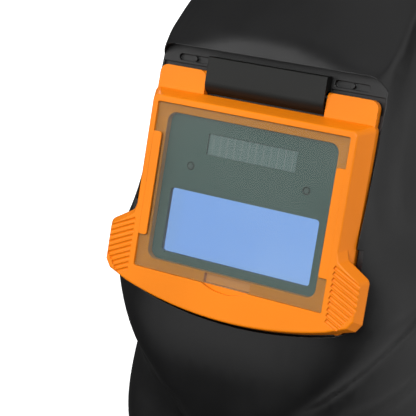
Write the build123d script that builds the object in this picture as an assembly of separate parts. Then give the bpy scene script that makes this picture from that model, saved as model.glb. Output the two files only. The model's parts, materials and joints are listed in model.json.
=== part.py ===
from build123d import *
import math
import os

os.makedirs("parts", exist_ok=True)

# Flip-front auto-darkening welding helmet: shell, flip-up lens frame and headgear.
# Millimetres. X is the viewer's right facing the window, Y runs into the helmet, Z is up.

# ---- placement ----
CENTRE_Y = 38.0                 # depth of the middle of the whole helmet, moved to Y = 0
LENS_CENTRE = (0.0, -100.0, 158.0)
LENS_LEAN = 17.5                # degrees the window leans back
PIVOT_Y = 40.0                  # shell tilt axis
PIVOT_Z = 192.0
HEAD_CENTRE = (0.0, 90.0, 183.0)
HEAD_TILT = 10.0                # degrees the headband drops towards the back

# ---- shell ----
SHELL_WALL = 2.8
FAN_Y = 95.0                    # axis that the shell's side-to-side sections turn about
FAN_Z = 140.0
SIDE_REACH = 80.0
SIDE_STEPS = [(0.0, 15.0, 5.0), (15.0, 27.0, 1.0), (27.0, 36.0, 3.0), (36.0, SIDE_REACH, 4.0)]
TURN_STEPS = [(-62.0, -35.0, 4.5), (-35.0, -8.0, 1.5), (-8.0, 46.0, 3.0), (46.0, 98.0, 4.0)]
CREASE_LOW = 8.0                # blend length where the front box meets the cheeks
CREASE_GROW = 5.5
# Three skins make the outside: the front box round the window, the brow that cuts across
# its top, and the cheeks. The box and the brow start as centre lines of (Y, Z) points.
BOX_LINE = [
    (-35.0, -165.0), (-62.0, -115.0), (-80.0, -60.0), (-92.0, -30.0), (-108.0, 0.0),
    (-117.0, 30.0), (-119.0, 60.0), (-113.0, 94.0), (-100.0, 150.0), (-84.0, 200.0),
    (-74.0, 231.0), (-64.0, 262.0), (-50.0, 300.0), (-20.0, 345.0), (40.0, 380.0), (95.0, 395.0),
    (150.0, 390.0),
]
BROW_LINE = [
    (-200.0, 146.0), (-150.0, 182.0), (-110.0, 211.0), (-74.0, 236.5), (-47.0, 254.5),
    (-13.0, 279.0), (34.0, 304.0), (88.0, 314.0), (128.0, 306.0),
]
# The rest are lists of (turn in degrees above level, value).
BOX_WIDTH = [
    (-70.0, 16.0), (-52.0, 16.0), (-40.0, 16.0), (-35.0, 17.0), (-31.5, 22.0), (-28.0, 36.0),
    (-25.0, 52.5), (-22.0, 68.5), (-19.0, 82.5), (-16.0, 92.5), (-13.0, 99.0), (-9.0, 102.5),
    (-6.0, 99.0), (-2.0, 88.0), (2.0, 78.0), (6.0, 73.0), (12.0, 70.5), (24.0, 70.0),
    (34.0, 68.0), (42.0, 65.5), (48.0, 67.0), (56.0, 76.0), (64.0, 91.0), (74.0, 103.0),
    (110.0, 105.0),
]
BOX_SQUARE = [
    (-70.0, 4.0), (-22.0, 5.5), (-12.0, 4.8), (-6.0, 4.8), (-2.0, 6.5), (3.0, 10.0), (9.0, 13.0),
    (24.0, 14.0), (38.0, 12.0), (46.0, 9.0), (54.0, 6.0), (62.0, 4.0), (72.0, 3.1), (110.0, 3.0),
]
BROW_WIDTH = [(0.0, 185.0), (45.0, 185.0), (56.0, 160.0), (68.0, 130.0), (80.0, 112.0), (110.0, 108.0)]
BROW_BLEND = [(0.0, 5.0), (45.0, 6.0), (60.0, 14.0), (75.0, 20.0), (110.0, 20.0)]
CHEEK_REACH = [
    (-78.0, 360.0), (-50.0, 276.0), (-46.0, 267.0), (-41.0, 257.0), (-36.0, 247.0), (-31.5, 236.0),
    (-24.0, 229.0), (-17.0, 221.0), (-10.0, 206.0), (0.0, 192.0), (8.0, 185.0), (15.0, 183.0),
    (25.0, 183.0), (35.0, 180.0), (45.0, 172.0), (60.0, 160.0), (110.0, 130.0),
]
CHEEK_WIDTH = [
    (-78.0, 120.0), (-46.0, 109.0), (-41.0, 104.0), (-36.0, 99.5), (-31.5, 106.0), (-24.0, 110.0),
    (-10.0, 109.0), (0.0, 108.0), (25.0, 106.0), (45.0, 104.0), (70.0, 102.0), (110.0, 98.0),
]
CHEEK_SQUARE = [
    (-78.0, 5.0), (-40.0, 5.0), (-36.0, 5.0), (-31.5, 3.2), (-24.0, 2.9), (0.0, 2.9), (110.0, 2.6),
]
REAR_WIDTH = 106.0              # every skin turns into one upright oval towards the back
REAR_SQUARE = 3.2
REAR_EDGE = [
    (-6.0, 0.0), (12.0, 18.0), (34.0, 45.0), (56.0, 80.0), (70.0, 115.0), (76.0, 150.0),
    (79.0, 190.0), (83.0, 225.0), (88.0, 260.0), (92.0, 300.0), (94.0, 340.0),
]

# ---- recess and fixed window, depths measured towards the viewer from the cover lens face ----
RECESS_HALF = 67.0
RECESS_TOP = 76.5
RECESS_CORNER = 9.0
FLOOR_FACE = -13.5
FLOOR_BACK = -16.0
TRAY_WALL = 2.5
APERTURE = (120.0, 100.0)
WINDOW = (133.0, 114.0)
WINDOW_THICK = 1.5
HOLDER_WALL = 2.3
GASKET_BACK = -16.8

# ---- flip frame ----
FRAME_FACE = 1.0
FLANGE_FRONT = -9.0
FLANGE_BACK = -13.0
LENS = (114.0, 90.0)
LENS_THICK = 1.5
VIEW = (102.0, 80.0)
FILTER = (110.0, 90.0)
FILTER_FRONT = -5.5
FILTER_BACK = -14.5
AXIS_V = 62.3                   # flip hinge axis
AXIS_D = -11.8
PIN_R = 1.25
KNUCKLE_R = 2.6
BLOCK_HALF = 35.3
RUNNING = 0.06                  # radial running clearance of every turning fit

# ---- side pivots ----
BOSS_R = 17.0
BOSS_IN = 93.5
BOSS_OUT = 103.5
BOLT_R = 5.0
THREAD_R = 3.0
THREAD_END = 113.0
KNOB_R = 16.0
ARM_IN = 87.0
ARM_OUT = 89.5
KNOB_IN = 104.5
KNOB_OUT = 118.0
RIVET_Y = 66.0                  # rivet that holds the side arm to the headband
RIVET_Z = 191.0
RIVET_R = 2.5

# ---- headgear, measured from the middle of the rear arc ----
BAND_R = 82.0
BAND_FRONT = 117.0
BAND_HALF_THICK = 1.0
BAND_HALF_HEIGHT = 14.0
INNER_STRAP = (78.8, 80.4)
OUTER_STRAP = (83.4, 85.0)
STRAP_HALF_HEIGHT = 11.0
HOUSING = (77.0, 86.8)
HOUSING_CAVITY = (78.5, 85.3)
HOUSING_ANGLE = 27.0
PINION_TEETH = 10
PINION_R = 5.0

lean = math.radians(LENS_LEAN)
lens_plane = Plane(origin=LENS_CENTRE, x_dir=(1, 0, 0), z_dir=(0, -math.cos(lean), math.sin(lean)))
drop = math.radians(HEAD_TILT)
head_plane = Plane(origin=HEAD_CENTRE, x_dir=(1, 0, 0), z_dir=(0, math.sin(drop), math.cos(drop)))


def on_lens(shape):
    return lens_plane.location * shape


def on_head(shape):
    return head_plane.location * shape


def save(name, shape):
    export_step(Pos(0, -CENTRE_Y, 0) * shape, f"parts/{name}.step")


def smooth(low, high, value):
    t = min(max((value - low) / (high - low), 0.0), 1.0)
    return t * t * (3.0 - 2.0 * t)


def curve(points, value):
    """Smooth curve through a list of (position, value) pairs."""
    last = len(points) - 1
    value = min(max(value, points[0][0]), points[last][0])
    k = 0
    while k < last - 1 and value > points[k + 1][0]:
        k += 1
    slopes = []
    for j in (k, k + 1):
        before = max(j - 1, 0)
        after = min(j + 1, last)
        if before < j < after:
            left = (points[j][1] - points[before][1]) / (points[j][0] - points[before][0])
            right = (points[after][1] - points[j][1]) / (points[after][0] - points[j][0])
            wide_left = points[j][0] - points[before][0]
            wide_right = points[after][0] - points[j][0]
            slopes.append((left * wide_right + right * wide_left) / (wide_left + wide_right))
        else:
            rise = points[after][1] - points[before][1]
            slopes.append(rise / (points[after][0] - points[before][0]))
    run = points[k + 1][0] - points[k][0]
    t = (value - points[k][0]) / run
    start = (2 * t**3 - 3 * t**2 + 1) * points[k][1] + (t**3 - 2 * t**2 + t) * run * slopes[0]
    end = (3 * t**2 - 2 * t**3) * points[k + 1][1] + (t**3 - t**2) * run * slopes[1]
    return start + end


# ---- shell surface ----
def reach_list(line):
    """Turn a centre line of (Y, Z) points into (turn, distance from the fan axis) pairs."""
    pairs = []
    for line_y, line_z in line:
        turn = math.degrees(math.atan2(line_z - FAN_Z, FAN_Y - line_y))
        pairs.append((turn, math.hypot(line_z - FAN_Z, FAN_Y - line_y)))
    return pairs


BOX_REACH = reach_list(BOX_LINE)
BROW_REACH = reach_list(BROW_LINE)


def positions(runs):
    """Positions along runs of (start, stop, step), with the stop of the last run."""
    found = []
    for start, stop, step in runs:
        found += [start + step * k for k in range(round((stop - start) / step))]
    return found + [runs[-1][1]]


def oval(width, reach, power, swing):
    across = math.sin(math.radians(swing)) / width
    along = math.cos(math.radians(swing)) / reach
    return (across ** power + along ** power) ** (-1 / power)


def lower_of(first, second, blend):
    share = min(max(0.5 + 0.5 * (first - second) / blend, 0.0), 1.0)
    return first * (1 - share) + second * share - blend * share * (1 - share)


def higher_of(first, second, blend):
    return -lower_of(-first, -second, blend)


def section_radius(turn, side):
    """Distance from the fan axis centre to the outer skin, turn up from level, side to the right."""
    swing = abs(side)
    rear = smooth(45.0, 78.0, swing)
    box_width = curve(BOX_WIDTH, turn) * (1 - rear) + REAR_WIDTH * rear
    box_power = curve(BOX_SQUARE, turn) * (1 - rear) + REAR_SQUARE * rear
    box = oval(box_width, curve(BOX_REACH, turn), box_power, swing)
    brow = oval(curve(BROW_WIDTH, turn), curve(BROW_REACH, turn), 2.0, swing)
    front = lower_of(brow, box, curve(BROW_BLEND, turn))
    cheek_width = curve(CHEEK_WIDTH, turn) * (1 - rear) + REAR_WIDTH * rear
    cheek_power = curve(CHEEK_SQUARE, turn) * (1 - rear) + REAR_SQUARE * rear
    cheek = oval(cheek_width, curve(CHEEK_REACH, turn), cheek_power, swing)
    return higher_of(front, cheek, CREASE_LOW + CREASE_GROW * smooth(-14.0, 4.0, turn))


def skin_point(turn, side, depth):
    """Point on the outer skin, moved in along the ray until it is depth below the surface."""
    radius = section_radius(turn, side)
    if depth:
        step = 0.4
        rise = skin_point(turn + step, side, 0) - skin_point(turn - step, side, 0)
        cross = skin_point(turn, side + step, 0) - skin_point(turn, side - step, 0)
        normal = rise.cross(cross).normalized()
        ray = (skin_point(turn, side, 0) - Vector(0, FAN_Y, FAN_Z)).normalized()
        radius -= depth / max(abs(normal.dot(ray)), 0.45)
    across = radius * math.sin(math.radians(side))
    along = radius * math.cos(math.radians(side))
    turned = math.radians(turn)
    return Vector(across, FAN_Y - along * math.cos(turned), FAN_Z + along * math.sin(turned))


def skin_mass(depth, inner_scale):
    """Thick solid from the surface at this depth under the skin inwards, towards the fan centre."""
    wires = []
    right_sides = positions(SIDE_STEPS)
    sides = [-side for side in reversed(right_sides[1:])] + right_sides
    ratios = [0.5 + 0.5 * side / SIDE_REACH for side in sides]
    fan_centre = Vector(0, FAN_Y, FAN_Z)
    for turn in positions(TURN_STEPS):
        outer = [skin_point(turn, side, depth) for side in sides]
        inner = [fan_centre + (point - fan_centre) * inner_scale for point in outer]
        top = Edge.make_spline(outer, parameters=ratios)
        under = Edge.make_spline(inner, parameters=ratios)
        right = Edge.make_line(top @ 1, under @ 1)
        left = Edge.make_line(under @ 0, top @ 0)
        wires.append(Wire([top, right, under, left]))
    return Solid.make_loft(wires, ruled=False)


# ---- small helpers in a local plane: X across, Y up, Z towards the viewer ----
def block(width, height, low, high, corner=0.0, centre=(0.0, 0.0)):
    shape = Rectangle(width, height) if corner == 0 else RectangleRounded(width, height, corner)
    return extrude(Pos(centre[0], centre[1], low) * shape, high - low)


def rod_x(radius, x_low, x_high, y=0.0, z=0.0):
    body = Cylinder(radius, x_high - x_low, rotation=(0, 90, 0))
    return Pos((x_low + x_high) / 2, y, z) * body


def rod_y(radius, y_low, y_high, x=0.0, z=0.0):
    body = Cylinder(radius, y_high - y_low, rotation=(90, 0, 0))
    return Pos(x, (y_low + y_high) / 2, z) * body


def rod_z(radius, z_low, z_high, x=0.0, y=0.0):
    return Pos(x, y, (z_low + z_high) / 2) * Cylinder(radius, z_high - z_low)


def mirrored(shape):
    return mirror(shape, about=Plane.YZ)


def closed_outline(right_side, arc_bottom, level, radii):
    """Left-right symmetric outline with an arced lower edge, corners rounded by the radii given."""
    left_side = [(-x, y) for x, y in reversed(right_side)]
    with BuildSketch(Plane.XY.offset(level)) as sketch:
        with BuildLine():
            Polyline(*right_side)
            Line(right_side[-1], left_side[0])
            Polyline(*left_side)
            ThreePointArc(left_side[-1], (0, arc_bottom), right_side[0])
        make_face()
        for point, radius in radii:
            picked = []
            for vertex in sketch.vertices():
                if abs(abs(vertex.X) - point[0]) < 0.01 and abs(vertex.Y - point[1]) < 0.01:
                    picked.append(vertex)
            fillet(picked, radius)
    return sketch.sketch


# ---- recess pocket and tray, in the lens plane ----
def recess_shape(grow, low, high):
    right = [
        (62.0 + grow, -57.5 - grow), (RECESS_HALF + grow, -54.5 - grow),
        (RECESS_HALF + grow, RECESS_TOP + grow),
    ]
    corner = (RECESS_HALF + grow, RECESS_TOP + grow)
    outline = closed_outline(right, -65.8 - grow, low, [(corner, RECESS_CORNER + grow)])
    return extrude(outline, high - low)


rear_edge_limit = 150.0
with BuildPart() as side_trim:
    with BuildSketch(Plane.YZ.offset(-rear_edge_limit)):
        with BuildLine():
            Spline(*REAR_EDGE)
            Polyline(REAR_EDGE[-1], (-180, 340), (-180, 0), REAR_EDGE[0])
        make_face()
    extrude(amount=2 * rear_edge_limit)

# The shell is a thick mass minus a hollow; the hollow leaves out the tray, the holder and the bosses.
window_space = block(WINDOW[0] + 0.6, WINDOW[1] + 0.6, -26.0, FLOOR_BACK, 2.0)
holder_width = WINDOW[0] + 2 * HOLDER_WALL + 0.6
holder_height = WINDOW[1] + 2 * HOLDER_WALL + 0.6
holder = block(holder_width, holder_height, -22.0, FLOOR_BACK + 1.0, 4.0) - window_space
tray = recess_shape(TRAY_WALL, FLOOR_BACK, 40.0) + holder
right_boss = rod_x(BOSS_R, BOSS_IN, BOSS_OUT, PIVOT_Y, PIVOT_Z)
bosses = right_boss + mirrored(right_boss)
hollow = skin_mass(SHELL_WALL, 0.4) - (on_lens(tray) + bosses)
shell = (skin_mass(0, 0.5) & side_trim.part) + right_boss + mirrored(right_boss) - hollow

cutter = recess_shape(0.0, FLOOR_FACE, 30.0)
cutter += block(190.0, 46.0, -10.5, 30.0, 3.0, (0, -33.5))
cutter += block(APERTURE[0], APERTURE[1] + 0.5, -30.0, 20.0, 4.0, (0, 0.25))
cutter += window_space
for side in (-1, 1):
    cutter += block(31.0, 9.0, -15.0, -13.0, 0.0, (side * 50.5, AXIS_V))
    slot = extrude(Pos(side * 47.0, 70.0, -15.2) * SlotOverall(20.0, 3.6), 3.0)
    cutter += slot - rod_z(1.3, -16.0, FLOOR_FACE, side * 47.0, 70.0)
    spring_space = rod_x(3.4, 20.0, BLOCK_HALF, AXIS_V, AXIS_D)
    cutter += spring_space if side > 0 else mirrored(spring_space)
shell -= on_lens(cutter)
boss_hole = rod_x(BOLT_R + RUNNING, BOSS_IN - 20, BOSS_OUT + 20, PIVOT_Y, PIVOT_Z)
face_off = rod_x(BOSS_R + 4.0, BOSS_OUT, BOSS_OUT + 20, PIVOT_Y, PIVOT_Z)
seat_off = rod_x(BOSS_R + 1.5, BOSS_IN - 20, BOSS_IN, PIVOT_Y, PIVOT_Z)
for shape in (boss_hole, face_off, seat_off):
    shell -= shape
    shell -= mirrored(shape)
save("helmet_shell", shell)

# ---- fixed inner window ----
gasket = block(WINDOW[0], WINDOW[1], GASKET_BACK, FLOOR_BACK, 2.0)
gasket -= block(APERTURE[0] + 2, APERTURE[1] + 2, -18.0, -15.0, 4.0)
save("window_gasket", on_lens(gasket))
window_back = GASKET_BACK - WINDOW_THICK
save("inner_window", on_lens(block(WINDOW[0], WINDOW[1], window_back, GASKET_BACK, 2.0)))
retainer = block(WINDOW[0] + 0.3, WINDOW[1] + 0.3, window_back - 2.6, window_back, 2.0)
retainer -= block(APERTURE[0], APERTURE[1], window_back - 3.0, window_back + 1.0, 4.0)
for corner_u in (-1, 1):
    clip = block(5.0, 30.0, window_back - 4.2, window_back - 2.0, 1.0, (corner_u * 62.5, 0))
    retainer += clip
save("window_retainer", on_lens(retainer))

# ---- flip hinge: block, pin and springs ----
with BuildPart() as hinge_block:
    with BuildSketch(Plane.YZ.offset(-BLOCK_HALF)):
        with BuildLine():
            Polyline((53.0, -13.45), (73.0, -13.45), (73.0, -7.9), (72.4, -7.3), (59.5, -7.3))
            ThreePointArc((59.5, -7.3), (54.9, -9.2), (53.0, -13.45))
        make_face()
    extrude(amount=2 * BLOCK_HALF)
cover = hinge_block.part
cover -= rod_x(PIN_R + 0.05, -40, 40, AXIS_V, AXIS_D)
for side in (-1, 1):
    spring_space = rod_x(3.4, 20.0, BLOCK_HALF, AXIS_V, AXIS_D)
    cover -= spring_space if side > 0 else mirrored(spring_space)
save("hinge_block", on_lens(cover))
pin = rod_x(PIN_R, -60.0, 60.0, AXIS_V, AXIS_D)
save("hinge_pin", on_lens(pin))
for name, side in (("left", -1), ("right", 1)):
    path = Helix(pitch=1.35, height=11.5, radius=2.3)
    coil = sweep(Plane(origin=path @ 0, z_dir=path % 0) * Circle(0.45), path=path)
    coil = Pos(side * 27.6 - 5.75, AXIS_V, AXIS_D) * (Rot(0, 90, 0) * coil)
    save(f"flip_spring_{name}", on_lens(coil))


# ---- flip frame ----
def frame_outline(level, half, top, ear, ear_top, corner_cut, bottom):
    right = [
        (61.0, bottom + 8.6), (ear - 3.0, bottom + 13.2), (ear, bottom + 17.5), (ear, ear_top),
        (half + 1.6, ear_top + corner_cut), (half, ear_top + corner_cut + 5.0), (half, top),
    ]
    radii = [((half, top), 3.0), ((ear, ear_top), 3.5), ((half + 1.6, ear_top + corner_cut), 3.0)]
    return closed_outline(right, bottom, level, radii)


def skirt_outline(level, half, top, bottom):
    right = [(61.0, bottom + 8.6), (half, bottom + 10.2), (half, top)]
    return closed_outline(right, bottom, level, [((half, top), 3.0)])


front_slab = loft([
    frame_outline(-4.5, 63.5, 50.5, 78.3, -24.0, 8.0, -64.2),
    frame_outline(FRAME_FACE, 60.5, 48.4, 75.0, -26.0, 8.0, -62.8),
], ruled=True)
skirt = loft([
    skirt_outline(FLANGE_FRONT, 66.0, 52.3, -65.0),
    skirt_outline(-4.5, 63.5, 50.5, -64.2),
], ruled=True)
frame = front_slab + skirt
rim_edges = []
for edge in frame.edges():
    middle = edge @ 0.5
    if abs(middle.Z - FRAME_FACE) < 0.01 and abs((edge @ 0).Z - FRAME_FACE) < 0.01:
        rim_edges.append(edge)
frame = fillet(rim_edges, 1.1)
frame += block(131.6, 108.6, FLANGE_BACK, FLANGE_FRONT, 3.0, (0, -2.0))
for side in (-1, 1):
    tab = block(28.9, 21.4, FLANGE_BACK, FLANGE_FRONT, 4.5, (side * 50.45, 54.2))
    knuckle = rod_x(KNUCKLE_R, 36.1, 62.0, AXIS_V, AXIS_D)
    frame += tab
    frame += knuckle if side > 0 else mirrored(knuckle)
bay = block(117.0, 97.0, FILTER_BACK - 0.3, FLANGE_BACK, 3.0)
frame += bay
frame -= block(FILTER[0] + 0.4, FILTER[1] + 0.4, -20.0, FILTER_FRONT, 1.0)
frame -= block(VIEW[0], VIEW[1], -20.0, 5.0, 5.0, (0, 0.6))
frame -= block(LENS[0] + 0.4, LENS[1] + 0.4, -LENS_THICK, 5.0, 1.0)
frame -= rod_z(31.3, -LENS_THICK, 5.0, 0, -17.3) & block(60, 20, -5, 5, 0, (0, -47.0))
frame -= block(28.0, 5.0, -4.0, 0.0, 0.5, (0, -42.5))
for side in (-1, 1):
    rail = block(6.2, 56.5, 0.08, FRAME_FACE - 0.1, 1.4, (side * 55.3, 0.75))
    frame += rail
    bore = rod_x(PIN_R + RUNNING, 30.0, 61.0, AXIS_V, AXIS_D)
    frame -= bore if side > 0 else mirrored(bore)
    for row in range(10):
        start_v = -20.5 - 3.05 * row
        groove_length = min(17.5, (start_v + 54.5) * 0.62 + 4.0)
        groove = Rot(0, 0, -25) * Cylinder(1.1, groove_length, rotation=(0, 90, 0))
        groove_x = 60.3 + groove_length * 0.45
        groove = Pos(groove_x, start_v - groove_length * 0.21, FRAME_FACE + 0.15) * groove
        frame -= groove if side > 0 else mirrored(groove)
notch_gap = block(2 * BLOCK_HALF + 1.0, 20.0, -20.0, 5.0, 1.5, (0, 62.5))
frame -= notch_gap
save("flip_frame", on_lens(frame))
save("cover_lens", on_lens(block(LENS[0], LENS[1], -LENS_THICK, 0.0, 0.8)))

# ---- auto-darkening filter cartridge ----
split = -9.5
LCD = (90.0, 35.0)
LCD_V = -17.25
front_case = block(FILTER[0], FILTER[1], split, FILTER_FRONT, 1.0)
front_case -= block(LCD[0], LCD[1], -20.0, 0.0, 2.0, (0, LCD_V))
front_case -= block(LCD[0] + 4.0, LCD[1] + 4.0, split - 1.0, -6.9, 1.0, (0, LCD_V))
front_case -= block(53.4, 11.2, -8.0, 0.0, 0.5, (0, 26.9))
front_case -= block(55.4, 13.2, split - 1.0, -6.5, 0.5, (0, 26.9))
for side in (-1, 1):
    front_case -= rod_z(2.3, split - 1.0, 0.0, side * 34.9, 13.6)
save("filter_front_case", on_lens(front_case))
save("darkening_glass", on_lens(block(LCD[0] + 3.6, LCD[1] + 3.6, -9.1, -6.9, 0.8, (0, LCD_V))))
save("solar_cell", on_lens(block(55.0, 12.8, -7.5, -6.5, 0.4, (0, 26.9))))
for name, side in (("left", -1), ("right", 1)):
    sensor = rod_z(2.2, -9.0, -6.2, side * 34.9, 13.6)
    sensor += Pos(side * 34.9, 13.6, -6.9) * (Sphere(2.2) & Pos(0, 0, 1.2) * Box(6, 6, 1.0))
    save(f"light_sensor_{name}", on_lens(sensor))
rear_case = block(FILTER[0], FILTER[1], FILTER_BACK, split, 1.0)
rear_case -= block(FILTER[0] - 3.0, FILTER[1] - 3.0, FILTER_BACK + 1.4, 0.0, 0.6)
rear_case -= block(LCD[0], LCD[1], -20.0, 0.0, 2.0, (0, LCD_V))
light_wall = block(LCD[0] + 3.0, LCD[1] + 3.0, FILTER_BACK, split, 2.5, (0, LCD_V))
light_wall -= block(LCD[0], LCD[1], -20.0, 0.0, 2.0, (0, LCD_V))
rear_case += light_wall
for side in (-1, 1):
    rear_case -= rod_z(2.0 + RUNNING, -16.0, -12.0, side * 30.0, 22.0)
save("filter_rear_case", on_lens(rear_case))
board = block(98.0, 38.0, -10.9, -9.6, 1.0, (0, 22.5))
for side in (-1, 1):
    board += block(6.0, 4.0, -11.8, -10.9, 0.0, (side * 8.0, 12.0))
    board += block(10.0, 10.0, -11.9, -10.9, 0.0, (side * 44.0, 32.0) if side > 0 else (-42.0, 10.0))
save("control_board", on_lens(board))
for name, side in (("left", -1), ("right", 1)):
    cell = rod_z(7.6, -12.9, -11.0, side * 12.5, 30.5)
    save(f"coin_cell_{name}", on_lens(cell))
for name, side in (("sensitivity_dial", -1), ("delay_dial", 1)):
    dial = rod_z(2.0, -14.5, -12.2, side * 30.0, 22.0)
    dial += rod_z(6.0, -15.7, -14.5, side * 30.0, 22.0)
    dial -= block(1.2, 9.0, -16.0, -15.2, 0.0, (side * 30.0, 22.0))
    save(name, on_lens(dial))
clip_bar = block(112.5, 6.0, FILTER_BACK - 0.8, FILTER_BACK, 1.0, (0, -40.0))
clip_bar += block(112.5, 5.0, FILTER_BACK - 0.8, FILTER_BACK, 1.0, (0, 41.0))
for side in (-1, 1):
    clip_bar += block(4.0, 82.0, FILTER_BACK - 0.8, FILTER_BACK, 1.0, (side * 53.0, 0))
clip_bar = clip_bar & block(110.2, 90.2, -20, 0)
save("filter_clip", on_lens(clip_bar))

# ---- side pivots ----
for name, side in (("left", -1), ("right", 1)):
    bolt = rod_x(8.0, ARM_IN - 2.5, ARM_IN, PIVOT_Y, PIVOT_Z)
    bolt += rod_x(BOLT_R, ARM_IN, KNOB_IN - 0.1, PIVOT_Y, PIVOT_Z)
    bolt += rod_x(THREAD_R, KNOB_IN - 0.1, THREAD_END, PIVOT_Y, PIVOT_Z)
    spacer = rod_x(13.0, ARM_OUT, BOSS_IN, PIVOT_Y, PIVOT_Z)
    spacer -= rod_x(BOLT_R + 0.1, ARM_OUT - 1, BOSS_IN + 1, PIVOT_Y, PIVOT_Z)
    washer = rod_x(14.0, BOSS_OUT, KNOB_IN, PIVOT_Y, PIVOT_Z)
    washer -= rod_x(BOLT_R + 0.1, BOSS_OUT - 1, KNOB_IN + 1, PIVOT_Y, PIVOT_Z)
    knob = rod_x(KNOB_R, KNOB_IN, KNOB_OUT, PIVOT_Y, PIVOT_Z)
    outer_edges = []
    for edge in knob.edges():
        if edge.geom_type == GeomType.CIRCLE and (edge @ 0).X > KNOB_OUT - 0.1:
            outer_edges.append(edge)
    knob = fillet(outer_edges, 3.0)
    for lobe in range(10):
        angle = 2 * math.pi * lobe / 10
        groove_y = PIVOT_Y + (KNOB_R + 2.2) * math.cos(angle)
        groove_z = PIVOT_Z + (KNOB_R + 2.2) * math.sin(angle)
        knob -= rod_x(4.0, KNOB_IN + 3.0, KNOB_OUT + 1, groove_y, groove_z)
    knob -= rod_x(THREAD_R + RUNNING, KNOB_IN - 1, THREAD_END + 0.5, PIVOT_Y, PIVOT_Z)
    with BuildPart() as arm_plate:
        with BuildSketch(Plane.YZ.offset(ARM_IN)):
            with BuildLine():
                Polyline((40, 206), (68, 201), (77, 191), (68, 181.5), (40, 178))
                ThreePointArc((40, 178), (26, 192), (40, 206))
            make_face()
        extrude(amount=ARM_OUT - ARM_IN)
    arm = arm_plate.part
    arm -= rod_x(BOLT_R + 0.1, ARM_IN - 1, ARM_OUT + 1, PIVOT_Y, PIVOT_Z)
    arm -= rod_x(RIVET_R + 0.1, ARM_IN - 1, ARM_OUT + 1, RIVET_Y, RIVET_Z)
    head_oval = Ellipse(BAND_R + BAND_HALF_THICK + 0.05, BAND_FRONT + BAND_HALF_THICK + 0.05)
    head_round = on_head(extrude(Pos(0, 0, -60) * head_oval, 120))
    post = rod_x(7.0, 70.0, ARM_IN, RIVET_Y, RIVET_Z) - head_round
    post -= rod_x(RIVET_R + 0.1, 60.0, ARM_IN + 1, RIVET_Y, RIVET_Z)
    rivet = rod_x(RIVET_R, 77.5, ARM_OUT, RIVET_Y, RIVET_Z)
    rivet += rod_x(4.2, ARM_OUT, ARM_OUT + 1.6, RIVET_Y, RIVET_Z)
    pieces = {
        "pivot_bolt": bolt, "pivot_spacer": spacer, "friction_washer": washer,
        "tension_knob": knob, "side_arm": arm, "arm_post": post, "arm_rivet": rivet,
    }
    for piece_name, shape in pieces.items():
        save(f"{piece_name}_{name}", shape if side > 0 else mirrored(shape))


# ---- headgear, local frame: X right, Y to the back, Z up ----
def ring_sector(inner, outer, half_height, from_rear, to_rear):
    """Part of a round ring between two angles measured from the rear, positive to the right."""
    ring = rod_z(outer, -half_height, half_height) - rod_z(inner, -half_height - 1, half_height + 1)
    span = 200.0
    points = [(0.0, 0.0)]
    steps = 8
    for k in range(steps + 1):
        angle = math.radians(from_rear + (to_rear - from_rear) * k / steps)
        points.append((span * math.sin(angle), span * math.cos(angle)))
    points.append((0.0, 0.0))
    wedge = extrude(Pos(0, 0, -half_height - 2) * make_face(Polyline(*points)), 2 * half_height + 4)
    return ring & wedge


def oval_band(grow_low, grow_high, half_height):
    """Front half of the headband: an oval as wide as the rear arc."""
    low = -half_height
    outer = extrude(Pos(0, 0, low) * Ellipse(BAND_R + grow_high, BAND_FRONT + grow_high), 2 * half_height)
    inner = extrude(Pos(0, 0, low - 1) * Ellipse(BAND_R + grow_low, BAND_FRONT + grow_low), 2 * half_height + 2)
    front = Pos(0, -150, 0) * Box(400, 300, 100)
    return (outer - inner) & front


band = oval_band(-BAND_HALF_THICK, BAND_HALF_THICK, BAND_HALF_HEIGHT)
for side in (-1, 1):
    band += ring_sector(BAND_R - 1, BAND_R + 1, BAND_HALF_HEIGHT, side * 90.0, side * 45.0)
band_world = on_head(band)
arm_hole = rod_x(RIVET_R + 0.1, 60.0, 95.0, RIVET_Y, RIVET_Z)
crown_hole = on_head(rod_x(2.1, 60.0, 95.0, -10.0, 5.0))
for hole in (arm_hole, crown_hole):
    band_world -= hole
    band_world -= mirrored(hole)
save("headband", band_world)
pad = oval_band(-5.6, -1.1, 17.0) & (Pos(0, -110, 0) * Box(140, 160, 60))
save("sweatband", on_head(pad))
save("rear_pad", on_head(ring_sector(72.6, 76.9, 12.5, -26.0, 26.0)))

pitch = 2 * math.pi * PINION_R / PINION_TEETH
tooth_half = pitch / 4 - 0.12


def rack_strap(layer, side):
    """Rear strap of one side with a toothed slot: side -1 has its teeth above the pinion."""
    up = -side
    strap = ring_sector(layer[0], layer[1], STRAP_HALF_HEIGHT, -side * 24.0, side * 70.0)
    centre_z = -0.2 * side
    slot = ring_sector(layer[0] - 1, layer[1] + 1, 6.4, -19.0, 19.0)
    strap -= Pos(0, 0, centre_z) * slot
    middle = (layer[0] + layer[1]) / 2
    step = math.degrees(pitch / middle)
    for k in range(-8, 8):
        outline = Polyline(
            (-tooth_half - 0.5, 6.9 * up), (-tooth_half + 0.29, 4.25 * up),
            (tooth_half - 0.29, 4.25 * up), (tooth_half + 0.5, 6.9 * up), close=True,
        )
        tooth = extrude(Plane.XZ * make_face(outline), -100)
        tooth = tooth & (rod_z(layer[1], -20, 20) - rod_z(layer[0], -21, 21))
        strap += Rot(0, 0, (k + 0.5) * step) * (tooth & Pos(0, 50, 0) * Box(20, 100, 40))
    return strap


save("rear_strap_left", on_head(rack_strap(INNER_STRAP, -1)))
save("rear_strap_right", on_head(rack_strap(OUTER_STRAP, 1)))

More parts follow.
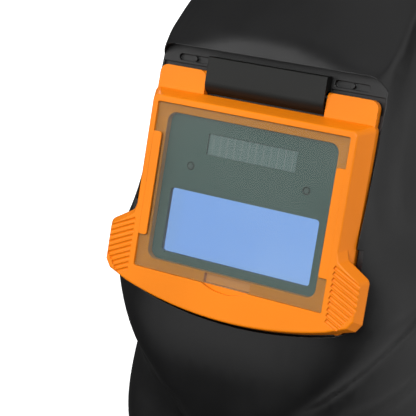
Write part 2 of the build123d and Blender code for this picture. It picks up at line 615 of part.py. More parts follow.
housing = ring_sector(HOUSING[0], HOUSING[1], 14.0, -HOUSING_ANGLE, HOUSING_ANGLE)
housing -= ring_sector(HOUSING_CAVITY[0], HOUSING_CAVITY[1], 11.3, -40.0, 40.0)
housing -= rod_y(3.0 + RUNNING, 84.0, 90.0)
save("ratchet_housing", on_head(housing))
divider = ring_sector(80.8, 83.0, 11.2, -22.0, 22.0) - rod_y(6.6, 70.0, 95.0)
save("strap_divider", on_head(divider))
points = []
for k in range(PINION_TEETH):
    centre = 2 * math.pi * k / PINION_TEETH + math.pi / 2
    for radius, half in ((4.0, 1.0), (5.0, tooth_half), (5.7, 0.36)):
        points.append((radius, centre - half / radius))
    for radius, half in ((5.7, 0.36), (5.0, tooth_half), (4.0, 1.0)):
        points.append((radius, centre + half / radius))
outline = [(radius * math.cos(angle), radius * math.sin(angle)) for radius, angle in points]
outline.append(outline[0])
gear = extrude(Plane.XZ * make_face(Polyline(*outline)), -6.2)
gear = Pos(0, 78.75, 0) * gear + rod_y(3.0, 84.9, 96.0)
save("ratchet_pinion", on_head(gear))
knob = rod_y(21.0, 87.7, 104.0)
rear_edges = []
for edge in knob.edges():
    if edge.geom_type == GeomType.CIRCLE and (edge @ 0).Y > 103.9:
        rear_edges.append(edge)
knob = fillet(rear_edges, 2.5)
for lobe in range(12):
    angle = 2 * math.pi * lobe / 12
    knob -= rod_y(3.2, 90.5, 105.0, 22.4 * math.cos(angle), 22.4 * math.sin(angle))
knob -= rod_y(3.05, 87.0, 96.1)
save("ratchet_knob", on_head(knob))
wave = rod_y(7.0, 86.9, 87.6) - rod_y(3.2, 86.0, 88.0)
save("ratchet_washer", on_head(wave))

# ---- crown strap ----
STRAP_WIDE = 18.0
CROWN_BASE = 14.0
CROWN_HIGH = 70.0
CROWN_HALF = 79.1


def crown_half(low, high, side):
    """One side of the strap over the head, as a bent strip with a straight leg inside the band."""
    def oval(grow):
        shape = Ellipse(CROWN_HALF + grow, CROWN_HIGH + grow)
        return extrude(Pos(0, 0, -STRAP_WIDE / 2) * shape, STRAP_WIDE)
    arch = (oval(high) - oval(low)) & (Pos(0, 60, 0) * Box(400, 120, 100))
    cut_x = -side * 18.0
    arch = arch & (Pos(cut_x + side * 100, 50, 0) * Box(200, 200, 100))
    leg = Pos(side * (CROWN_HALF + (low + high) / 2), -9.5, 0) * Box(high - low, 19.0, STRAP_WIDE)
    arch = Plane(origin=(0, -10.0, CROWN_BASE), x_dir=(1, 0, 0), z_dir=(0, -1, 0)).location * (arch + leg)
    rivet_hole = rod_x(2.1, 60.0, 95.0, -10.0, 5.0)
    arch -= rivet_hole if side > 0 else mirrored(rivet_hole)
    for hole in (-12.0, 0.0, 12.0):
        arch -= rod_z(2.6, 60.0, 110.0, hole, -10.0)
    return arch


save("crown_strap_right", on_head(crown_half(-0.8, 0.7, 1)))
save("crown_strap_left", on_head(crown_half(-2.4, -0.9, -1)))
top_z = CROWN_BASE + CROWN_HIGH
snap = rod_z(2.5, top_z - 4.4, top_z + 1.6, 0, -10.0) + rod_z(5.0, top_z + 0.8, top_z + 2.6, 0, -10.0)
save("crown_pin", on_head(snap))
for name, side in (("left", -1), ("right", 1)):
    stud = rod_x(2.0, 76.4, 84.6, -10.0, 5.0) + rod_x(3.6, 82.95, 84.6, -10.0, 5.0)
    save(f"crown_rivet_{name}", on_head(stud if side > 0 else mirrored(stud)))
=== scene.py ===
import json
import math

import bmesh
import bpy
from mathutils import Matrix, Vector


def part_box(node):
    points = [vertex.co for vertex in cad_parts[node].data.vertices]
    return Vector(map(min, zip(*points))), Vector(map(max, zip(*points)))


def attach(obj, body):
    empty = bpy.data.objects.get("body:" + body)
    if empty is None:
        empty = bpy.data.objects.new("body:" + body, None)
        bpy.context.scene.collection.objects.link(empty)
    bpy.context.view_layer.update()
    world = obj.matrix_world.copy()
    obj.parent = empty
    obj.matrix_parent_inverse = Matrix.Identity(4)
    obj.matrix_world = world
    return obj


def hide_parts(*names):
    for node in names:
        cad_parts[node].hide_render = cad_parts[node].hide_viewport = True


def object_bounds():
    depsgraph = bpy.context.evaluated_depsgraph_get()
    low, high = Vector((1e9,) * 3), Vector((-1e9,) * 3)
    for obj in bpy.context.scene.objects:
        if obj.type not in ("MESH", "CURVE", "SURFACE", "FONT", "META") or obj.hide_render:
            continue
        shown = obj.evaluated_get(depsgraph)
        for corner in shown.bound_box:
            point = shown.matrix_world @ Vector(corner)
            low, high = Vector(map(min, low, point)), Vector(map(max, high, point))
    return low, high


# Looks for a flip-front welding helmet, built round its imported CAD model. Metres, in the CAD frame.

MM = 0.001

# ---- camera, measured from the middle of the cover lens ----
CAMERA_OFFSET = Vector((0.3453, -0.5994, 0.2824))
CAMERA_AZIMUTH = 31.28          # degrees, the way the camera looks round the helmet
CAMERA_ELEVATION = 22.38
CAMERA_LENS = 123.8             # mm on a 36 mm sensor

LENS_LEAN = 17.5                # degrees the window leans back
SHARP_EDGE = 28.0               # degrees, edges sharper than this stay crisp
FLOOR_SIZE = 6.0
CORNER_CUT = 0.10               # how much lower a pad is at its very ends
CORNER_RUN = 5.0 * MM           # length over which a pad's ends round off
STITCH = 2.6 * MM
CLOTH_STEPS = 20

# ---- studio: (direction, cosine where a patch begins, cosine where it is full, strength) ----
SURROUND = 0.05
SOFT_PATCHES = [
    ((-0.48, -0.87, 0.14), 0.84, 0.97, 0.88),
    ((-0.25, 0.15, 1.0), 0.55, 0.95, 0.20),
    ((0.95, 0.10, 0.25), 0.60, 0.95, 0.95),
    ((0.68, 0.20, -0.65), 0.70, 0.97, 0.55),
]

# ---- headgear, as in the CAD model ----
BAND_WIDE = 82.0 * MM
BAND_LONG = 117.0 * MM

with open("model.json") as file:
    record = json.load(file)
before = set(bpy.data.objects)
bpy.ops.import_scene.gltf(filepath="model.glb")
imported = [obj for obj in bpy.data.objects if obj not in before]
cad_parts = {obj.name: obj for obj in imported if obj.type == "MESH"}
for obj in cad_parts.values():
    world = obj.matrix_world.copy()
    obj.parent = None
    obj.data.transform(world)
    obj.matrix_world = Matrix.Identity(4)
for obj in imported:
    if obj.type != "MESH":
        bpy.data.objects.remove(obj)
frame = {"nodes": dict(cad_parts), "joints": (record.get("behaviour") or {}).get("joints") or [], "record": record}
cad_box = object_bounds()
nodes = frame["nodes"]


def box_middle(node):
    low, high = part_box(node)
    return (low + high) / 2


# ---- materials ----
class Look:
    """A node material under construction."""

    def __init__(self, name):
        self.material = bpy.data.materials.new(name)
        self.material.use_nodes = True
        self.tree = self.material.node_tree
        self.shader = self.tree.nodes["Principled BSDF"]
        self.output = self.tree.nodes["Material Output"]
        self.place = self.node("ShaderNodeTexCoord").outputs["Object"]

    def node(self, kind, **settings):
        made = self.tree.nodes.new(kind)
        for key, value in settings.items():
            setattr(made, key, value)
        return made

    def link(self, source, target):
        self.tree.links.new(source, target)

    def set(self, **values):
        for key, value in values.items():
            self.shader.inputs[key.replace("_", " ")].default_value = value

    def noise(self, size, detail=2.0, stretch=(1, 1, 1)):
        """Noise whose blobs are about size metres across, 0 to 1."""
        mapping = self.node("ShaderNodeMapping")
        mapping.inputs["Scale"].default_value = stretch
        self.link(self.place, mapping.inputs["Vector"])
        texture = self.node("ShaderNodeTexNoise")
        texture.inputs["Scale"].default_value = 0.5 / size
        texture.inputs["Detail"].default_value = detail
        self.link(mapping.outputs["Vector"], texture.inputs["Vector"])
        return texture.outputs["Fac"]

    def ramp(self, source, low, high, start=0.0, end=1.0):
        """Maps source from low..high to start..end, held at the ends."""
        remap = self.node("ShaderNodeMapRange", interpolation_type="SMOOTHSTEP")
        for key, value in (("From Min", low), ("From Max", high), ("To Min", start), ("To Max", end)):
            remap.inputs[key].default_value = value
        self.link(source, remap.inputs["Value"])
        return remap.outputs["Result"]

    def maths(self, operation, first, second=None):
        made = self.node("ShaderNodeMath", operation=operation)
        for k, value in enumerate((first, second)):
            if value is None:
                continue
            if isinstance(value, (int, float)):
                made.inputs[k].default_value = value
            else:
                self.link(value, made.inputs[k])
        return made.outputs[0]

    def mix(self, share, first, second):
        """Colour between first and second, each an RGB triple or a socket."""
        made = self.node("ShaderNodeMix", data_type="RGBA")
        for key, value in ((0, share), (6, first), (7, second)):
            if isinstance(value, tuple):
                made.inputs[key].default_value = (*value, 1.0)
            elif isinstance(value, (int, float)):
                made.inputs[key].default_value = value
            else:
                self.link(value, made.inputs[key])
        return made.outputs[2]

    def bump(self, height, distance, normal=None):
        made = self.node("ShaderNodeBump")
        made.inputs["Distance"].default_value = distance
        made.inputs["Strength"].default_value = 1.0
        self.link(height, made.inputs["Height"])
        if normal is not None:
            self.link(normal, made.inputs["Normal"])
        return made.outputs["Normal"]

    def rounded(self, radius):
        """Normal that rounds sharp edges off, and a mask that is 1 along those edges."""
        bevel = self.node("ShaderNodeBevel", samples=6)
        bevel.inputs["Radius"].default_value = radius
        geometry = self.node("ShaderNodeNewGeometry")
        product = self.node("ShaderNodeVectorMath", operation="DOT_PRODUCT")
        self.link(bevel.outputs["Normal"], product.inputs[0])
        self.link(geometry.outputs["Normal"], product.inputs[1])
        mask = self.ramp(product.outputs["Value"], 0.98, 0.75)
        return bevel.outputs["Normal"], mask

    def colour(self, source):
        self.link(source, self.shader.inputs["Base Color"])

    def roughness(self, source):
        self.link(source, self.shader.inputs["Roughness"])

    def normal(self, source):
        self.link(source, self.shader.inputs["Normal"])


def moulded_plastic(
    name, colour, rough, grain=0.35 * MM, depth=0.012 * MM, edge=0.5 * MM, wear=0.25, shine=0.5,
):
    """Moulded plastic: fine spark texture, faint cloudiness, rounded and slightly rubbed edges."""
    look = Look(name)
    edge_normal, edge_mask = look.rounded(edge)
    cloud = look.noise(45 * MM, 3)
    darker = tuple(c * 0.86 for c in colour)
    rubbed = tuple(min(1.0, c * 1.5 + 0.02) for c in colour)
    base = look.mix(look.ramp(cloud, 0.3, 0.7), darker, colour)
    patch = look.ramp(look.noise(3 * MM, 4), 0.42, 0.62, 0.0, wear)
    look.colour(look.mix(look.maths("MULTIPLY", edge_mask, patch), base, rubbed))
    smudge = look.noise(14 * MM, 5)
    look.roughness(look.ramp(smudge, 0.3, 0.75, rough - 0.05, rough + 0.07))
    look.normal(look.bump(look.noise(grain, 3), depth, edge_normal))
    look.set(IOR=1.48)
    look.shader.inputs["Specular IOR Level"].default_value = shine
    return look


def brushed_metal(name, colour, rough, along=(1, 1, 1)):
    look = Look(name)
    edge_normal, edge_mask = look.rounded(0.2 * MM)
    lines = look.noise(0.25 * MM, 4, along)
    base = look.mix(look.ramp(look.noise(4 * MM, 5), 0.35, 0.7), tuple(c * 0.75 for c in colour), colour)
    look.colour(base)
    look.roughness(look.ramp(lines, 0.2, 0.8, rough - 0.08, rough + 0.1))
    look.normal(look.bump(lines, 0.006 * MM, edge_normal))
    look.set(Metallic=1.0)
    return look


def clear_plate(name, tint):
    """Thin clear plate: reflects like polycarbonate, and lets the rest through without bending it."""
    look = Look(name)
    glossy = look.node("ShaderNodeBsdfGlossy")
    clear = look.node("ShaderNodeBsdfTransparent")
    haze = look.node("ShaderNodeBsdfDiffuse")
    clear.inputs["Color"].default_value = (*tint, 1.0)
    scuff = look.noise(9 * MM, 6)
    look.link(look.ramp(scuff, 0.35, 0.75, 0.015, 0.09), glossy.inputs["Roughness"])
    glossy.inputs["Color"].default_value = (1.0, 1.0, 1.0, 1.0)
    fresnel = look.node("ShaderNodeFresnel")
    fresnel.inputs["IOR"].default_value = 1.5
    coated = look.maths("MULTIPLY", fresnel.outputs["Fac"], 0.75)
    surface = look.node("ShaderNodeMixShader")
    look.link(coated, surface.inputs[0])
    look.link(clear.outputs[0], surface.inputs[1])
    look.link(glossy.outputs[0], surface.inputs[2])
    dusty = look.node("ShaderNodeMixShader")
    haze.inputs["Color"].default_value = (0.9, 0.9, 0.88, 1.0)
    look.link(look.ramp(look.noise(25 * MM, 5), 0.3, 0.8, 0.003, 0.014), dusty.inputs[0])
    look.link(surface.outputs[0], dusty.inputs[1])
    look.link(haze.outputs[0], dusty.inputs[2])
    look.link(dusty.outputs[0], look.output.inputs["Surface"])
    look.tree.nodes.remove(look.shader)
    return look


def darkening_window(name):
    """The viewing window's blue heat-mirror coating over dark liquid crystal."""
    look = Look(name)
    cloud = look.noise(30 * MM, 2)
    look.colour(look.mix(look.ramp(cloud, 0.3, 0.7), (0.24, 0.45, 0.98), (0.29, 0.50, 1.0)))
    look.set(Metallic=1.0, Roughness=0.14)
    return look


def solar_glass(name):
    """Dark amorphous cell with fine collector lines across it."""
    look = Look(name)
    wave = look.node("ShaderNodeTexWave", wave_type="BANDS", bands_direction="X")
    wave.inputs["Scale"].default_value = 0.5 / (6.9 * MM)
    look.link(look.place, wave.inputs["Vector"])
    line = look.ramp(wave.outputs["Fac"], 0.93, 0.98)
    look.colour(look.mix(line, (0.055, 0.115, 0.114), (0.10, 0.15, 0.15)))
    look.set(Roughness=0.2, IOR=1.6)
    return look


def sensor_glass(name):
    look = Look(name)
    spots = look.noise(1.2 * MM, 2)
    look.colour(look.mix(look.ramp(spots, 0.3, 0.7), (0.004, 0.030, 0.025), (0.012, 0.045, 0.038)))
    look.set(Roughness=0.12, IOR=1.5)
    return look


def circuit_board(name):
    look = Look(name)
    voronoi = look.node("ShaderNodeTexVoronoi", feature="DISTANCE_TO_EDGE", distance="CHEBYCHEV")
    voronoi.inputs["Scale"].default_value = 260.0
    look.link(look.place, voronoi.inputs["Vector"])
    track = look.ramp(voronoi.outputs["Distance"], 0.05, 0.09)
    look.colour(look.mix(track, (0.03, 0.20, 0.09), (0.012, 0.10, 0.045)))
    look.normal(look.bump(track, -0.02 * MM))
    look.set(Roughness=0.35)
    return look


def rubber(name, colour):
    look = Look(name)
    look.colour(look.mix(look.ramp(look.noise(6 * MM, 4), 0.3, 0.7), colour, tuple(c * 1.6 for c in colour)))
    look.roughness(look.ramp(look.noise(2 * MM, 3), 0.3, 0.7, 0.62, 0.8))
    look.normal(look.bump(look.noise(0.3 * MM, 2), 0.02 * MM))
    return look


def towelling(name, colour):
    """Looped cotton towelling: small loops over a woven ground, with painted shade down between the loops, and
    sheen.
    """
    look = Look(name)
    loops = look.node("ShaderNodeTexVoronoi", feature="F1")
    loops.inputs["Scale"].default_value = 1 / (0.95 * MM)
    loops.inputs["Randomness"].default_value = 0.8
    look.link(look.place, loops.inputs["Vector"])
    fuzz = look.noise(0.25 * MM, 3)
    height = look.maths("SUBTRACT", look.maths("MULTIPLY", fuzz, 0.5), loops.outputs["Distance"])
    cloud = look.ramp(look.noise(12 * MM, 4), 0.3, 0.7)
    ground = look.mix(cloud, tuple(c * 0.75 for c in colour), colour)
    # Painted shade: the colour darkens down between the loops, where shade falls.
    painted_loop_shade = look.ramp(loops.outputs["Distance"], 0.2, 0.75)
    look.colour(look.mix(painted_loop_shade, ground, tuple(c * 0.35 for c in colour)))
    look.normal(look.bump(height, 0.35 * MM))
    look.set(Roughness=0.92)
    look.shader.inputs["Sheen Weight"].default_value = 0.35
    look.shader.inputs["Sheen Roughness"].default_value = 0.5
    return look


def thread(name, colour):
    look = Look(name)
    twist = look.node("ShaderNodeTexWave", wave_type="BANDS", bands_direction="DIAGONAL")
    twist.inputs["Scale"].default_value = 1 / (0.5 * MM) / 2
    look.link(look.place, twist.inputs["Vector"])
    # Painted shade: the colour darkens in the grooves of the twist, where the bump dips.
    look.colour(look.mix(twist.outputs["Fac"], tuple(c * 0.6 for c in colour), colour))
    look.normal(look.bump(twist.outputs["Fac"], 0.05 * MM))
    look.set(Roughness=0.75)
    return look


def paint_lens_pocket_shade(look, colour):
    """Painted shade: a darker, duller orange on the faces behind the cover lens, inside its outline, where the
    lens shades them.
    """
    middle = box_middle("cover_lens")
    lean = math.radians(LENS_LEAN)
    across = Vector((1, 0, 0))
    upward = Vector((0, math.sin(lean), math.cos(lean)))
    outward = Vector((0, -math.cos(lean), math.sin(lean)))
    inside = None
    for axis, low, high in ((across, -57.4, 57.4), (upward, -45.4, 45.4), (outward, -12.0, -0.2)):
        dot = look.node("ShaderNodeVectorMath", operation="DOT_PRODUCT")
        dot.inputs[1].default_value = axis
        look.link(look.place, dot.inputs[0])
        distance = look.maths("SUBTRACT", dot.outputs["Value"], axis.dot(middle))
        above = look.maths("GREATER_THAN", distance, low * MM)
        below = look.maths("LESS_THAN", distance, high * MM)
        within = look.maths("MULTIPLY", above, below)
        inside = within if inside is None else look.maths("MULTIPLY", inside, within)
    before = look.shader.inputs["Base Color"].links[0].from_socket
    look.colour(look.mix(inside, before, colour))


looks = {
    "shell": moulded_plastic("shell_black", (0.0065, 0.0065, 0.0068), 0.38, wear=0.18, shine=0.42),
    "hinge": moulded_plastic("hinge_black", (0.0075, 0.008, 0.007), 0.42, edge=0.7 * MM, shine=0.27),
    "orange": moulded_plastic(
        "frame_orange", (0.95, 0.245, 0.004), 0.38, edge=0.7 * MM, wear=0.30, shine=0.22,
    ),
    "plate": clear_plate("clear_plastic", (0.955, 0.972, 0.958)),
    "window": darkening_window("darkening_glass"),
    "filter": moulded_plastic("filter_grey", (0.003, 0.050, 0.041), 0.5),
    "solar": solar_glass("solar_glass"),
    "sensor": sensor_glass("sensor_glass"),
    "board": circuit_board("circuit_board"),
    "steel": brushed_metal("steel", (0.62, 0.62, 0.63), 0.3),
    "seal": rubber("seal_rubber", (0.018, 0.018, 0.018)),
    "headgear": moulded_plastic("headgear_plastic", (0.040, 0.041, 0.044), 0.42),
    "knob": moulded_plastic("knob_plastic", (0.018, 0.018, 0.020), 0.38, grain=0.6 * MM, depth=0.03 * MM),
    "towel": towelling("pad_fabric", (0.075, 0.078, 0.088)),
    "thread": thread("thread", (0.10, 0.10, 0.11)),
    "binding": thread("binding", (0.035, 0.035, 0.038)),
    "washer": moulded_plastic("washer_plastic", (0.70, 0.69, 0.64), 0.42),
}
# painted shade on the orange frame behind the cover lens
paint_lens_pocket_shade(looks["orange"], (0.50, 0.20, 0.02))
LOOK_OF_SLOT = {
    "shell_black": "shell", "frame_orange": "orange", "clear_plastic": "plate",
    "darkening_glass": "window", "filter_grey": "filter", "solar_glass": "solar",
    "sensor_glass": "sensor", "circuit_board": "board", "steel": "steel", "seal_rubber": "seal",
    "headgear_plastic": "headgear", "knob_plastic": "knob", "pad_fabric": "towel",
    "washer_plastic": "washer",
}


def paint(thing, look_name):
    material = looks[look_name].material
    if not thing.material_slots:
        thing.data.materials.append(material)
    for held in thing.material_slots:
        held.link = "OBJECT"
        held.material = material


def smooth_modifier(thing, angle):
    """Smooth shading with edges sharper than angle kept crisp, as a modifier."""
    group = bpy.data.node_groups.get("smooth_by_angle")
    if group is None:
        group = bpy.data.node_groups.new("smooth_by_angle", "GeometryNodeTree")
        group.interface.new_socket("Geometry", in_out="INPUT", socket_type="NodeSocketGeometry")
        group.interface.new_socket("Geometry", in_out="OUTPUT", socket_type="NodeSocketGeometry")
        start = group.nodes.new("NodeGroupInput")
        end = group.nodes.new("NodeGroupOutput")
        faces = group.nodes.new("GeometryNodeSetShadeSmooth")
        edges = group.nodes.new("GeometryNodeSetShadeSmooth")
        edges.domain = "EDGE"
        edges.inputs["Shade Smooth"].default_value = False
        turn = group.nodes.new("GeometryNodeInputMeshEdgeAngle")
        sharp = group.nodes.new("FunctionNodeCompare")
        sharp.operation = "GREATER_THAN"
        sharp.inputs[1].default_value = angle
        group.links.new(turn.outputs["Unsigned Angle"], sharp.inputs[0])
        group.links.new(start.outputs[0], faces.inputs[0])
        group.links.new(faces.outputs[0], edges.inputs[0])
        group.links.new(sharp.outputs[0], edges.inputs["Selection"])
        group.links.new(edges.outputs[0], end.inputs[0])
    modifier = thing.modifiers.new("smooth", "NODES")
    modifier.node_group = group


for part in frame["record"]["subparts"]:
    node = part["node"]
    paint(nodes[node], LOOK_OF_SLOT[part["material_slot"]])
    smooth_modifier(nodes[node], math.radians(SHARP_EDGE))
paint(nodes["hinge_block"], "hinge")


# ---- soft goods ----
strap_joint = next(joint for joint in frame["joints"] if joint["name"] == "left_strap_slide")
head_up = Vector(strap_joint["axis"])
head_right = Vector((1, 0, 0))
head_back = head_up.cross(head_right)
head_frame = Matrix.Translation(Vector(strap_joint["pos_m"])) @ Matrix(
    (head_right, head_back, head_up)
).transposed().to_4x4()


def new_piece(name, mesh_source, body, look_name):
    """Turns a bmesh into a shown object that rides on a CAD body."""
    mesh = bpy.data.meshes.new(name)
    bmesh.ops.recalc_face_normals(mesh_source, faces=mesh_source.faces)
    for face in mesh_source.faces:
        face.smooth = True
    mesh_source.to_mesh(mesh)
    mesh_source.free()
    piece = bpy.data.objects.new(name, mesh)
    bpy.context.scene.collection.objects.link(piece)
    piece.data.materials.append(looks[look_name].material)
    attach(piece, body)
    return piece


def add_tube(mesh, points, radii, sides=8, closed=False):
    """Adds a round tube through the points, with closed ends unless it is a loop."""
    rings = []
    count = len(points)
    for k, point in enumerate(points):
        before = points[k - 1] if k or closed else point
        after = points[(k + 1) % count] if k < count - 1 or closed else point
        along = (after - before).normalized()
        across = along.cross(head_up)
        if across.length < 0.3:
            across = along.cross(head_right)
        across.normalize()
        upward = across.cross(along)
        ring = []
        for j in range(sides):
            angle = 2 * math.pi * j / sides
            offset = (across * math.cos(angle) + upward * math.sin(angle)) * radii[k]
            ring.append(mesh.verts.new(point + offset))
        rings.append(ring)
    spans = count if closed else count - 1
    for k in range(spans):
        ring, following = rings[k], rings[(k + 1) % count]
        shift = 0
        if closed and k == count - 1:
            gaps = [(ring[0].co - vert.co).length for vert in following]
            shift = gaps.index(min(gaps))
        for j in range(sides):
            first, second = following[(j + shift) % sides], following[(j + 1 + shift) % sides]
            mesh.faces.new((ring[j], ring[(j + 1) % sides], second, first))
    if not closed:
        mesh.faces.new(reversed(rings[0]))
        mesh.faces.new(rings[-1])


def oval_path(turn, grow):
    """Point on the oval front half of the headband, turn in radians from the front, local to the head."""
    return Vector(((BAND_WIDE + grow) * math.sin(turn), -(BAND_LONG + grow) * math.cos(turn), 0))


def round_path(turn, grow):
    """Point on the round rear half of the headband, turn in radians from the back."""
    return Vector((-(BAND_WIDE + grow) * math.sin(turn), (BAND_WIDE + grow) * math.cos(turn), 0))


def puff(piece, pins, pressure, cap):
    """Cloth simulation: the free vertices swell under pressure, each moving at most cap."""
    group = piece.vertex_groups.new(name="pins")
    for index, weight in pins.items():
        group.add([index], weight, "REPLACE")
    cloth = piece.modifiers.new("cloth", "CLOTH")
    settings = cloth.settings
    settings.quality = 6
    settings.mass = 0.25
    settings.tension_stiffness = settings.compression_stiffness = 12
    settings.shear_stiffness = 4
    settings.bending_stiffness = 0.4
    settings.effector_weights.gravity = 0
    settings.use_pressure = True
    settings.uniform_pressure_force = pressure
    settings.vertex_group_mass = "pins"
    start = [vertex.co.copy() for vertex in piece.data.vertices]
    for step in range(1, CLOTH_STEPS + 1):
        bpy.context.scene.frame_set(step)
    shaped = piece.evaluated_get(bpy.context.evaluated_depsgraph_get())
    moved = [vertex.co.copy() for vertex in shaped.data.vertices]
    piece.modifiers.remove(cloth)
    piece.vertex_groups.remove(group)
    for vertex, before, after in zip(piece.data.vertices, start, moved):
        shift = after - before
        if shift.length > cap:
            shift.length = cap
        vertex.co = before + shift
    bpy.context.scene.frame_set(1)


def head_pad(name, node, path, half_turn, half_height, back_grow, thickness, channels, columns, rows):
    """Quilted pad on the inside of the band: a flat back sheet, and a front sheet that puffs out."""
    mesh = bmesh.new()
    channel_turns = [half_turn * (2 * k / channels - 1) for k in range(1, channels)]
    length = 2 * half_turn * BAND_LONG
    front, back, pins = [], [], {}
    for i in range(columns + 1):
        turn = half_turn * (2 * i / columns - 1)
        end = min(1.0, (1 - abs(turn) / half_turn) * length / 2 / CORNER_RUN)
        end_round = math.sqrt(1 - (1 - end) ** 2)
        nearest = min([abs(turn - line) for line in channel_turns], default=1.0) * BAND_LONG
        dip = math.exp(-(nearest / (1.6 * MM)) ** 2)
        front_column, back_column = [], []
        for j in range(rows + 1):
            level = 2 * j / rows - 1
            corner = 1 - CORNER_CUT * (1 - end_round)
            height = level * half_height * corner
            crown = (1 - abs(level) ** 3.5) ** 0.6 * end_round
            swell = thickness * (0.18 + 0.82 * crown * (1 - 0.8 * dip))
            edge = i in (0, columns) or j in (0, rows)
            back_point = path(turn, back_grow) + Vector((0, 0, height))
            front_point = path(turn, back_grow - (0.5 * MM if edge else swell)) + Vector((0, 0, height))
            vertex = mesh.verts.new(head_frame @ front_point)
            front_column.append(vertex)
            held = edge or dip > 0.6
            pins[len(front) * (rows + 1) + j] = 1.0 if edge else (0.95 if held else 0.0)
            back_column.append(head_frame @ back_point)
        front.append(front_column)
        back.append(back_column)
    total = (columns + 1) * (rows + 1)
    back_verts = []
    for i in range(columns + 1):
        column = []
        for j in range(rows + 1):
            if i in (0, columns) or j in (0, rows):
                column.append(front[i][j])
            else:
                column.append(mesh.verts.new(back[i][j]))
                pins[total] = 1.0
                total += 1
        back_verts.append(column)
    for i in range(columns):
        for j in range(rows):
            for sheet in (front, back_verts):
                corners = (sheet[i][j], sheet[i + 1][j], sheet[i + 1][j + 1], sheet[i][j + 1])
                mesh.faces.new(corners)
    piece = new_piece(name, mesh, "headgear", "towel")
    puff(piece, pins, 3.0, 2.2 * MM)
    piece.modifiers.new("round", "SUBSURF").levels = 1
    piece.modifiers["round"].render_levels = 1
    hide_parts(node)

    trim = bmesh.new()
    loop = []
    steps = columns
    for i in range(steps + 1):
        loop.append((half_turn * (2 * i / steps - 1), -1.0))
    for j in range(1, rows):
        loop.append((half_turn, 2 * j / rows - 1))
    for i in range(steps, -1, -1):
        loop.append((half_turn * (2 * i / steps - 1), 1.0))
    for j in range(rows - 1, 0, -1):
        loop.append((-half_turn, 2 * j / rows - 1))
    points = []
    for turn, level in loop:
        end = min(1.0, (1 - abs(turn) / half_turn) * length / 2 / CORNER_RUN)
        corner = 1 - CORNER_CUT * (1 - math.sqrt(1 - (1 - end) ** 2))
        point = path(turn, back_grow - 0.55 * MM) + Vector((0, 0, level * half_height * corner))
        points.append(head_frame @ point)
    add_tube(trim, points, [0.95 * MM] * len(points), 10, True)
    new_piece(f"{name}_binding", trim, "headgear", "binding")

    sewing = bmesh.new()
    for line in channel_turns:
        count = int(2 * half_height * 0.84 / STITCH)
        for k in range(count):
            low = (k + 0.15) / count * 2 - 1
            high = (k + 0.85) / count * 2 - 1
            dash = []
            for share in (0.0, 0.25, 0.5, 0.75, 1.0):
                level = (low + (high - low) * share) * 0.84
                lift = 0.15 * MM + 0.3 * MM * math.sin(math.pi * share)
                depth = thickness * (0.18 + 0.82 * (1 - abs(level) ** 3.5) ** 0.6 * 0.2)
                point = path(line, back_grow - depth - lift) + Vector((0, 0, level * half_height))
                dash.append(head_frame @ point)
            add_tube(sewing, dash, [0.16 * MM, 0.24 * MM, 0.26 * MM, 0.24 * MM, 0.16 * MM], 6)
    new_piece(f"{name}_stitching", sewing, "headgear", "thread")


head_pad(
    "sweatband_pad", "sweatband", oval_path, math.radians(59), 17 * MM,
    -1.2 * MM, 4.0 * MM, channels=9, columns=190, rows=22,
)
head_pad(
    "rear_pad_cushion", "rear_pad", round_path, math.radians(26), 12.5 * MM,
    -5.2 * MM, 3.8 * MM, channels=4, columns=72, rows=18,
)


# ---- stage: floor, light and camera ----
def make_floor():
    plane = bmesh.new()
    bmesh.ops.create_grid(plane, x_segments=1, y_segments=1, size=FLOOR_SIZE)
    mesh = bpy.data.meshes.new("floor")
    plane.to_mesh(mesh)
    plane.free()
    floor = bpy.data.objects.new("floor", mesh)
    floor.location.z = cad_box[0].z - 0.0002
    bpy.context.scene.collection.objects.link(floor)
    look = Look("floor_paper")
    look.colour(look.mix(look.noise(0.5, 2), (0.86, 0.86, 0.86), (0.9, 0.9, 0.9)))
    look.set(Roughness=0.9)
    look.shader.inputs["Emission Color"].default_value = (1.0, 1.0, 1.0, 1.0)
    look.shader.inputs["Emission Strength"].default_value = 0.62
    see_through = look.node("ShaderNodeBsdfTransparent")
    seen = look.node("ShaderNodeMixShader")
    look.link(look.node("ShaderNodeLightPath").outputs["Is Camera Ray"], seen.inputs[0])
    look.link(see_through.outputs[0], seen.inputs[1])
    look.link(look.shader.outputs[0], seen.inputs[2])
    look.link(seen.outputs[0], look.output.inputs["Surface"])
    floor.data.materials.append(look.material)


def area_light(name, place, target, size, power):
    data = bpy.data.lights.new(name, "AREA")
    data.shape = "RECTANGLE"
    data.size, data.size_y = size
    data.energy = power
    light = bpy.data.objects.new(name, data)
    light.location = place
    light.rotation_euler = (Vector(target) - Vector(place)).to_track_quat("-Z", "Y").to_euler()
    bpy.context.scene.collection.objects.link(light)


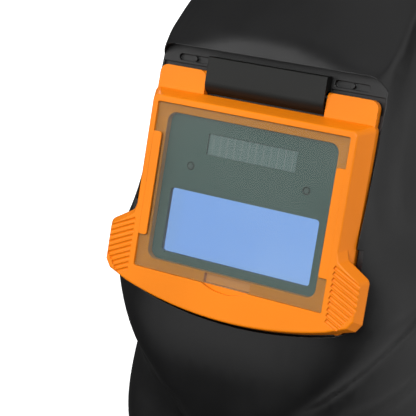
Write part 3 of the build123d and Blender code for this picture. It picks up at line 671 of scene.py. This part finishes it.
def make_world():
    """Dim studio with a few soft bright patches; the camera itself sees plain near-white."""
    world = bpy.data.worlds.new("studio")
    world.use_nodes = True
    bpy.context.scene.world = world
    tree = world.node_tree
    back = tree.nodes["Background"]
    direction = tree.nodes.new("ShaderNodeTexCoord").outputs["Generated"]
    total = None
    for towards, start, end, strength in SOFT_PATCHES:
        lean = tree.nodes.new("ShaderNodeVectorMath")
        lean.operation = "DOT_PRODUCT"
        lean.inputs[1].default_value = Vector(towards).normalized()
        tree.links.new(direction, lean.inputs[0])
        remap = tree.nodes.new("ShaderNodeMapRange")
        remap.interpolation_type = "SMOOTHSTEP"
        for key, value in (("From Min", start), ("From Max", end), ("To Min", 0.0), ("To Max", strength)):
            remap.inputs[key].default_value = value
        tree.links.new(lean.outputs["Value"], remap.inputs["Value"])
        add = tree.nodes.new("ShaderNodeMath")
        add.operation = "ADD"
        tree.links.new(remap.outputs["Result"], add.inputs[0])
        if total is None:
            add.inputs[1].default_value = SURROUND
        else:
            tree.links.new(total, add.inputs[1])
        total = add.outputs[0]
    tree.links.new(total, back.inputs["Strength"])
    back.inputs["Color"].default_value = (1.0, 1.0, 1.0, 1.0)
    plain = tree.nodes.new("ShaderNodeBackground")
    plain.inputs["Strength"].default_value = 0.95
    choose = tree.nodes.new("ShaderNodeMixShader")
    path = tree.nodes.new("ShaderNodeLightPath")
    tree.links.new(path.outputs["Is Camera Ray"], choose.inputs[0])
    tree.links.new(back.outputs[0], choose.inputs[1])
    tree.links.new(plain.outputs[0], choose.inputs[2])
    tree.links.new(choose.outputs[0], tree.nodes["World Output"].inputs["Surface"])


def make_camera():
    data = bpy.data.cameras.new("camera")
    data.lens = CAMERA_LENS
    data.sensor_width = 36.0
    camera = bpy.data.objects.new("camera", data)
    azimuth = math.radians(CAMERA_AZIMUTH)
    elevation = math.radians(CAMERA_ELEVATION)
    forward = Vector((
        -math.sin(azimuth) * math.cos(elevation),
        math.cos(azimuth) * math.cos(elevation),
        -math.sin(elevation),
    ))
    camera.location = box_middle("cover_lens") + CAMERA_OFFSET
    camera.rotation_euler = forward.to_track_quat("-Z", "Y").to_euler()
    bpy.context.scene.collection.objects.link(camera)
    bpy.context.scene.camera = camera


make_floor()
make_world()
middle = (cad_box[0] + cad_box[1]) / 2
area_light("key", (0.15, -1.6, 1.15), middle, (1.0, 0.8), 25)
area_light("top", (0.2, 0.3, 1.8), middle, (1.4, 1.4), 3)
area_light("fill", (-1.3, -1.0, 0.9), middle, (0.8, 0.8), 9)
area_light("back", (-0.9, 1.6, 0.75), middle, (1.0, 1.0), 16)
make_camera()
bpy.context.scene.view_settings.view_transform = "Standard"
